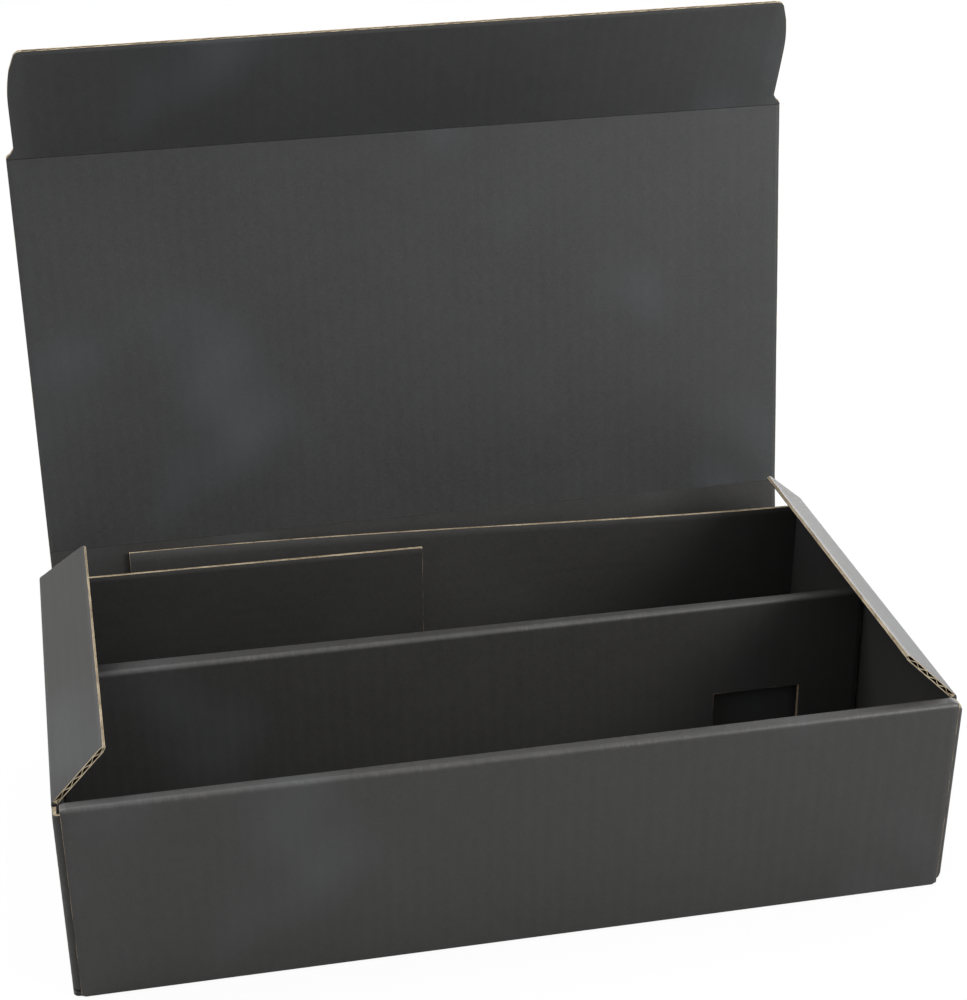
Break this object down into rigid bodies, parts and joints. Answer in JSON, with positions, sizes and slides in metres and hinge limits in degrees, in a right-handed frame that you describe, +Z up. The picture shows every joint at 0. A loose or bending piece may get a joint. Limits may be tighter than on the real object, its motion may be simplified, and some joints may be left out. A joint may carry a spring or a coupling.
{
  "type": "corrugated shipping box",
  "caption": "Black corrugated mailer box, open, with a leaning divider, side dust flaps and a hinged lid with a tuck flap.",
  "frame": {"origin": "middle of the floor's underside, centred on the tray's width and depth", "axes": "+X along the bottles' length, +Y towards the back wall and lid, +Z up"},
  "size_m": [0.4, 0.2687, 0.351],
  "materials": {
    "board": "matte black facing, brown core",
    "lid_board": "matte black facing, brown core"
  },
  "bodies": {
    "tray": {"tray": "board", "divider": "board", "rear_tab_right": "board"},
    "back_wall": {"back_wall": "board"},
    "lid": {"lid": "lid_board"},
    "tuck_flap": {"tuck_flap": "lid_board"},
    "dust_flap_left": {"dust_flap_left": "board"},
    "dust_flap_right": {"dust_flap_right": "board"}
  },
  "joints": [
    {"name": "lid_hinge", "type": "hinge", "parent": "back_wall", "child": "lid", "pos_m": [0, 0.12671, 0.09771], "axis": [-1, 0, 0], "range_deg": [-84.4, 69]},
    {"name": "back_wall_fold", "type": "hinge", "parent": "tray", "child": "back_wall", "pos_m": [0, 0.1035, 0.0025], "axis": [-1, 0, 0], "range_deg": [-14.5, 12], "deforming": ["rear_tab_right"]},
    {"name": "dust_flap_left_fold", "type": "hinge", "parent": "tray", "child": "dust_flap_left", "pos_m": [-0.1975, 0, 0.096], "axis": [0, -1, 0], "range_deg": [-46.3, 38]},
    {"name": "dust_flap_right_fold", "type": "hinge", "parent": "tray", "child": "dust_flap_right", "pos_m": [0.1975, 0, 0.096], "axis": [0, 1, 0], "range_deg": [-45.3, 38]},
    {"name": "tuck_fold", "type": "hinge", "parent": "lid", "child": "tuck_flap", "pos_m": [0, 0.16024, 0.29387], "axis": [1, 0, 0], "range_deg": [-30, 61.6]}
  ],
  "couplings": [
    {"joint": "back_wall_fold", "follows": "lid_hinge", "ratio": 0.16232},
    {"joint": "dust_flap_left_fold", "follows": "lid_hinge", "ratio": 0.53317},
    {"joint": "dust_flap_right_fold", "follows": "lid_hinge", "ratio": 0.52133}
  ]
}
